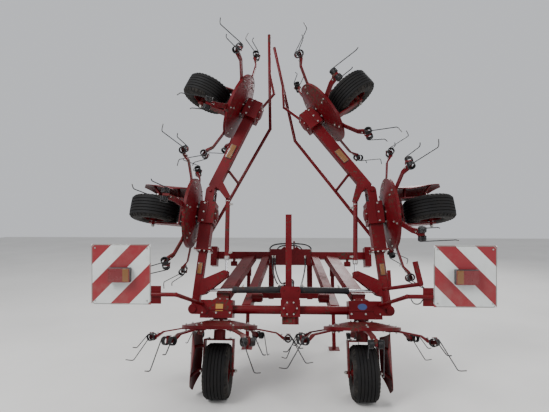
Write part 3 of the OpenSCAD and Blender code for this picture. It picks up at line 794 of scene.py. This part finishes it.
def capsule(name, body, parts, finish, matrix, smooth=35):
    """Join several bmesh forms, each with its own place, into one piece."""
    meshes = [as_mesh(form, name, matrix @ spot, finish) for form, spot in parts]
    piece = keep(joined(meshes, name), name, body, smooth)
    return piece


def axis_to(direction, spot=(0, 0, 0)):
    """A matrix that takes the z axis to a direction at a point."""
    return shifted(*spot) @ Vector(direction).to_track_quat("Z", "Y").to_matrix().to_4x4()


print("makers ready")

# %% [markdown]
# The marker boards are thin enamelled sheets with a rolled steel rim, hung at the machine's back
# corners. The stripes lean outwards and down. The lamp on each board is a dark moulded housing
# with three lenses, two red and an amber one at the outside.

# %% Board rims and lamps
BOARD_W, BOARD_X, BOARD_Y, BOARD_Z = 0.423, 1.190, Y_SHIFT - 0.800, 1.170
for side, sign in SIDES.items():
    spot = shifted(sign * BOARD_X, BOARD_Y, BOARD_Z)
    half = BOARD_W / 2 - 0.004
    corner = [(-half, 0, -half), (half, 0, -half), (half, 0, half), (-half, 0, half)]
    ring = []
    for i in range(4):
        a, b = Vector(corner[i]), Vector(corner[(i + 1) % 4])
        ring += [a.lerp(b, 0.04), a.lerp(b, 0.96)]
    hoop = wires(f"rim_wire_{side}", [ring], spot)
    hoop.data.splines[0].use_cyclic_u = True
    rim = cook(hoop, sweep, Radius=0.0036, Sides=10, Finish=plain_grey)
    keep(rim, f"board_rim_{side}", "frame")
    corners = [((x, -0.0025, z), (0, -1, 0)) for x in (-0.185, 0.185) for z in (-0.185, 0.185)]
    bolted(f"board_rivets_{side}", "frame", corners, 0.0040, zinc, spot)
    shell = [(block((-0.076, -0.040, -0.051), (0.076, -0.0025, 0.051), 0.006, 3), Matrix())]
    capsule(f"lamp_shell_{side}", "frame", shell, lamp_black, spot)
    lens_parts = []
    for low, high in ((-0.071, -0.026), (-0.023, 0.023), (0.026, 0.071)):
        lens = block((low, -0.0455, -0.046), (high, -0.036, 0.046), 0.0035, 3)
        lens_parts.append((lens, Matrix()))
    if side == "l":
        red, outer = lens_parts[:2], lens_parts[2:]
    else:
        red, outer = lens_parts[1:], lens_parts[:1]
    capsule(f"lamp_lenses_{side}", "frame", red, red_lens, spot)
    capsule(f"turn_lens_{side}", "frame", outer, amber, spot)
print("boards at", BOARD_X, BOARD_Z)

# %% [markdown]
# Amber reflectors are glued to the backs of the beams. Each is a ribbed lens in a shallow black
# tray. Two plain stickers, one yellow and one blue, stay without any sign on them.


# %% Reflectors and stickers
def reflector(name, body, matrix, width=0.045, height=0.105):
    tray = [(block((-width / 2, -0.006, -height / 2), (width / 2, 0, height / 2), 0.002), Matrix())]
    capsule(name + "_tray", body, tray, lamp_black, matrix)
    wide, tall = width / 2 - 0.004, height / 2 - 0.004
    lens = [(block((-wide, -0.0095, -tall), (wide, -0.003, tall), 0.0015), Matrix())]
    capsule(name + "_lens", body, lens, amber, matrix)


for side in SIDES:
    inner, outer = place("in", side), place("out", side)
    along = Matrix.Rotation(math.pi / 2, 4, "Y")
    reflector(f"inner_reflector_{side}", f"wing_in_{side}",
              inner @ shifted(0.36, -0.0355, 0) @ along)
    reflector(f"outer_reflector_{side}", f"wing_out_{side}",
              outer @ shifted(0.44, -0.0395, 0) @ along, 0.060, 0.150)
# Both stickers lie on the rear face of a side gearbox
LABEL_X, LABEL_Y = 0.62, -0.0853
square = [(block((-0.032, -0.0012, -0.030), (0.032, 0, 0.030), 0.0004, 1), Matrix())]
capsule("yellow_label", "frame", square, plain_yellow,
        place("frame", "l") @ shifted(LABEL_X, LABEL_Y, 0.015))
angles = [i / 20 * math.tau for i in range(20)]
outline = [(0.040 * math.cos(a), 0.027 * math.sin(a)) for a in angles]
oval = [(plate(outline, 0.0012), Matrix.Rotation(math.pi / 2, 4, "X"))]
capsule("blue_label", "frame", oval, plain_blue,
        place("frame", "r") @ shifted(LABEL_X, LABEL_Y, 0.03))
print("reflectors and labels placed")

# %% [markdown]
# A hydraulic cylinder has a screwed gland where its rod comes out, a welded boss for its hose at
# each end and a scraper ring. The rods stay CAD solids, because they slide in MuJoCo.

# %% Cylinder details
FOLD_FROM, FOLD_TO, FOLD_BARREL = (0.062, 0, 0.175), (0.174, 0, 0.084), 0.450
TILT_FROM, TILT_TO, TILT_BARREL = (0.020, 0, 0.165), (0.339, 0, 0.239), 0.590
FOLD_R, TILT_R = 0.028, 0.021


def gland(bore, outer, length=0.038):
    profile = [(bore, 0), (outer - 0.002, 0), (outer, 0.002), (outer, length - 0.010),
               (outer - 0.004, length - 0.006), (outer - 0.004, length - 0.001),
               (bore + 0.004, length), (bore, length)]
    return turned(profile, 36)


def port(direction, lift):
    """A welded boss with a swivel fitting, standing out of a barrel."""
    profile = [(0, 0), (0.013, 0), (0.013, 0.010), (0.0105, 0.012), (0.0105, 0.017), (0.009, 0.018),
               (0.009, 0.030), (0.0075, 0.032), (0, 0.032)]
    return turned(profile, 6, closed=False), axis_to(direction) @ shifted(0, 0, lift)


def cylinder_line(start, end):
    return axis_to(Vector(end) - Vector(start), start)


lines = {}
for side in SIDES:
    frame_to = shifted(PIN_X) @ folded(FOLD_IN) @ Vector(FOLD_TO)
    fold = place("frame", side) @ cylinder_line(FOLD_FROM, frame_to)
    lines["fold", side] = fold, FOLD_BARREL, FOLD_R, FOLD_R / 2
    wing_from = shifted(OUT_PIN_X) @ folded(FOLD_OUT[side]) @ Vector(TILT_FROM)
    tilt = place("in", side) @ cylinder_line(wing_from, TILT_TO)
    lines["tilt", side] = tilt, TILT_BARREL, TILT_R, TILT_R / 2
for (kind, side), (matrix, length, barrel, rod) in lines.items():
    body = f"{kind}_barrel_{side}"
    rings = [(gland(rod + 0.0007, barrel + 0.003), shifted(0, 0, length - 0.028)),
             (gland(barrel - 0.004, barrel + 0.002, 0.016), shifted(0, 0, 0.035))]
    finish = black_enamel if kind == "fold" else dull_steel
    capsule(f"{kind}_gland_{side}", body, rings, finish, matrix)
    bosses = []
    for height in (0.070, length - 0.060):
        form, turn = port((0, 1, 0) if kind == "tilt" else (0, 0.85, -0.5), barrel - 0.003)
        bosses.append((form, shifted(0, 0, height) @ turn))
    capsule(f"{kind}_ports_{side}", body, bosses, zinc, matrix, 25)
print("cylinder lines:", len(lines))

# %% [markdown]
# Gearbox covers are castings: each has a raised flange with a ring of bolts where the halves meet.

# %% Covers and caps
# Lowest x, highest x and top of each gearbox, by the number of its rotor
COVERS = {1: (0.505, 0.788, 0.080), 2: (0.775, 0.980, 0.070), 3: (0.830, 1.015, 0.075)}


def cover_cap(outer, tall):
    profile = [(0, tall), (outer * 0.55, tall), (outer * 0.72, tall * 0.86),
               (outer * 0.80, tall * 0.45), (outer * 0.98, tall * 0.30), (outer, tall * 0.22),
               (outer, 0), (0, 0)]
    return turned(profile, 48, closed=False)


for number, side in ROTORS:
    section_name = SECTION[number]
    matrix, x = place(section_name, side), ROTOR_X[number]
    low_x, high_x, high_z = COVERS[number]
    body = carrier_body(number, side)
    parts = [(cover_cap(0.072, 0.022), shifted(x, 0, high_z - 0.001))]
    seam = block((low_x - 0.004, -0.090, -0.008), (high_x + 0.004, 0.090, 0.004), 0.002)
    parts.append((seam, Matrix()))
    capsule(f"gear_cover_{number}{side}", body, parts, red_enamel, matrix)
    ring = [((x + px, py, high_z + 0.0045), way) for (px, py, _), way in around(6, 0.0655, 0, 30)]
    edge = [((px, way * 0.0855, -0.030), (0, way, 0)) for way in (-1, 1)
            for px in (low_x + 0.020, (low_x + high_x) / 2, high_x - 0.020)]
    bolted(f"gear_bolts_{number}{side}", body, ring + edge, 0.0062, zinc, matrix)
centre = place("frame")
cap = cover_cap(0.062, 0.020), axis_to((0, -1, 0), (0, -0.094, 0.012))
capsule("centre_cover", "frame", [cap], red_enamel, centre)
heads = [((px, -0.099, pz + 0.012), (0, -1, 0)) for (px, pz, _), _ in around(6, 0.055, 0)]
bolted("centre_bolts", "frame", heads, 0.0062, zinc, centre)
for side in SIDES:
    matrix = place("in", side)
    corners = [((0.5395, y, z), (1, 0, 0)) for y in (-0.068, 0.068) for z in (-0.064, 0.066)]
    corners += [((0.524, y, z), (-1, 0, 0)) for y in (-0.068, 0.068)
                for z in (-0.064, -0.02, 0.022, 0.066)]
    bolted(f"flange_bolts_{side}", f"wing_in_{side}", corners, 0.0075, zinc, matrix)
print("covers placed")

# %% [markdown]
# Three hydraulic hoses come down from the plate on the cross beam, and two hoops lie over it.
# Each runs along the line of its CAD solid, with rounder bends, and is crimped into a steel
# ferrule at both ends. The thin cable feeds the right lamp.

# %% Hoses
BEAM_TOP, PLATE_Y = 0.646, 0.8669
BOARD_ARM_Z = BEAM_H + 0.088 * math.cos(PITCH) + (0.8 + 0.088 * math.sin(PITCH)) * math.tan(PITCH)
# Each hose has its radius, its points and the height that they are measured from
HOSES = [
    (0.009, [(-0.235, 0.915, 0), (-0.235, 0.915, 0.060), (-0.150, 0.915, 0.100),
             (0.150, 0.915, 0.100), (0.235, 0.915, 0.060), (0.235, 0.915, 0)], BEAM_TOP),
    (0.008, [(-0.150, 0.945, 0), (-0.150, 0.945, 0.050), (-0.095, 0.945, 0.084),
             (0.080, 0.945, 0.084), (0.130, 0.945, 0.050), (0.130, 0.945, 0)], BEAM_TOP),
    (0.008, [(-0.200, PLATE_Y, 0.600), (-0.200, PLATE_Y, 0.430), (-0.120, 0.200, 0.215),
             (-0.0545, 0.077, 0.215)], 0),
    (0.008, [(-0.174, PLATE_Y, 0.600), (-0.174, PLATE_Y, 0.455), (-0.094, 0.200, 0.238),
             (-0.0545, 0.077, 0.238)], 0),
    (0.008, [(0.165, PLATE_Y, 0.600), (0.165, PLATE_Y, 0.430), (0.060, 0.230, 0.090),
             (0.050, 0.097, 0.062)], 0),
]


def ferrule(radius):
    r = radius * 1.05
    profile = [(r * 0.9, 0), (r * 1.35, 0), (r * 1.35, 0.008), (r * 1.15, 0.009), (r * 1.25, 0.011),
               (r * 1.25, 0.030), (r * 1.05, 0.032), (r * 0.9, 0.032)]
    return turned(profile, 18)


hose_pieces, ferrules = [], []
for radius, points, lift in HOSES:
    path = rounded([Vector(p) + Vector((0, 0, lift)) for p in points], 4)
    line = wires("hose", [path], place("frame"))
    hose_pieces.append(cook(line, sweep, Radius=radius, Sides=14, Finish=hose_rubber))
    for end, towards in ((path[0], path[1]), (path[-1], path[-2])):
        ferrules.append((ferrule(radius), axis_to(towards - end, end)))
cable = [(0.824, 0, -0.0172), (0.844, 0, -0.050), (0.884, 0, -0.050), (0.904, 0, -0.0172)]
line = wires("cable", [rounded(cable, 4)], shifted(0, BOARD_Y - 0.006, BOARD_ARM_Z))
hose_pieces.append(cook(line, sweep, Radius=0.004, Sides=10, Finish=hose_rubber))
piece = keep(joined(hose_pieces, "hose_runs"), "hose_runs", "frame", 60)
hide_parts("hoses")
capsule("hose_ferrules", "frame", ferrules, zinc, place("frame"), 40)
print("hoses:", len(HOSES), "ferrules:", len(ferrules))

# %% [markdown]
# A black bellows covers the shaft's joint at each outer hinge. Small parts that every such
# machine has follow: grease nipples at the hinges, nuts on the axle ends, bolts on the forks and
# clips that hold the tines.


# %% Hinges and axles
def bellows(start, end, wide, narrow, folds):
    profile = [(narrow * 0.8, start)]
    for i in range(folds):
        low = start + (end - start) * i / folds
        high = start + (end - start) * (i + 1) / folds
        radius = wide + (narrow - wide) * i / max(folds - 1, 1)
        profile += [(radius * 0.88, low), (radius, (low * 2 + high) / 3),
                    (radius, (low + high * 2) / 3), (radius * 0.88, high - 0.0005)]
    return turned(profile + [(narrow * 0.8, end)], 40)


def nipple():
    profile = [(0, 0), (0.0055, 0), (0.0055, 0.003), (0.003, 0.004), (0.003, 0.007),
               (0.0042, 0.009), (0.0042, 0.011), (0.0018, 0.013), (0, 0.013)]
    return turned(profile, 8, closed=False)


to_x = axis_to((1, 0, 0))
for side in SIDES:
    inner = place("in", side)
    boot = [(bellows(0.981, 1.056, 0.050, 0.040, 4), to_x)]
    capsule(f"joint_boot_{side}", f"wing_in_{side}", boot, guard_black, inner, 25)
    for body, matrix, lift in ((f"wing_in_{side}", inner, 0.0355),
                               (f"wing_out_{side}", place("out", side), 0.0305)):
        greasers = [(nipple(), axis_to((0, 0, 1), (0, y, lift))) for y in (-0.032, 0.032)]
        capsule(f"nipples_{body}", body, greasers, zinc, matrix, 30)
for number, side in ROTORS:
    spot, body = rotor_place(number, side), carrier_body(number, side)
    nuts = [((way * 0.1455, 0, -AXLE_DROP), (way, 0, 0)) for way in (-1, 1)]
    bolted(f"axle_nuts_{number}{side}", body, nuts, 0.0125, zinc, spot)
    fork = [((x, y, -0.250), (0, 0, 1)) for x in (-0.095, 0.095) for y in (-0.035, 0.035)]
    bolted(f"fork_bolts_{number}{side}", body, fork, 0.0075, zinc, spot)
    clips = []
    low, top = COIL_Z - 0.012, COIL_Z + COIL_R + WIRE_R + 0.002
    for turn in arm_turns(number, side):
        over = block((COIL_X - 0.016, -0.0105, top), (COIL_X + 0.016, 0.0105, top + 0.005),
                     0.0015, 1)
        down = block((COIL_X + 0.0165, -0.0105, low), (COIL_X + 0.0205, 0.0105, top + 0.005),
                     0.001, 1)
        clips += [(over, turn), (down, turn)]
    capsule(f"tine_clips_{number}{side}", f"rotor_{number}{side}", clips, disc_enamel, spot, 30)
print("hinges and axles dressed")
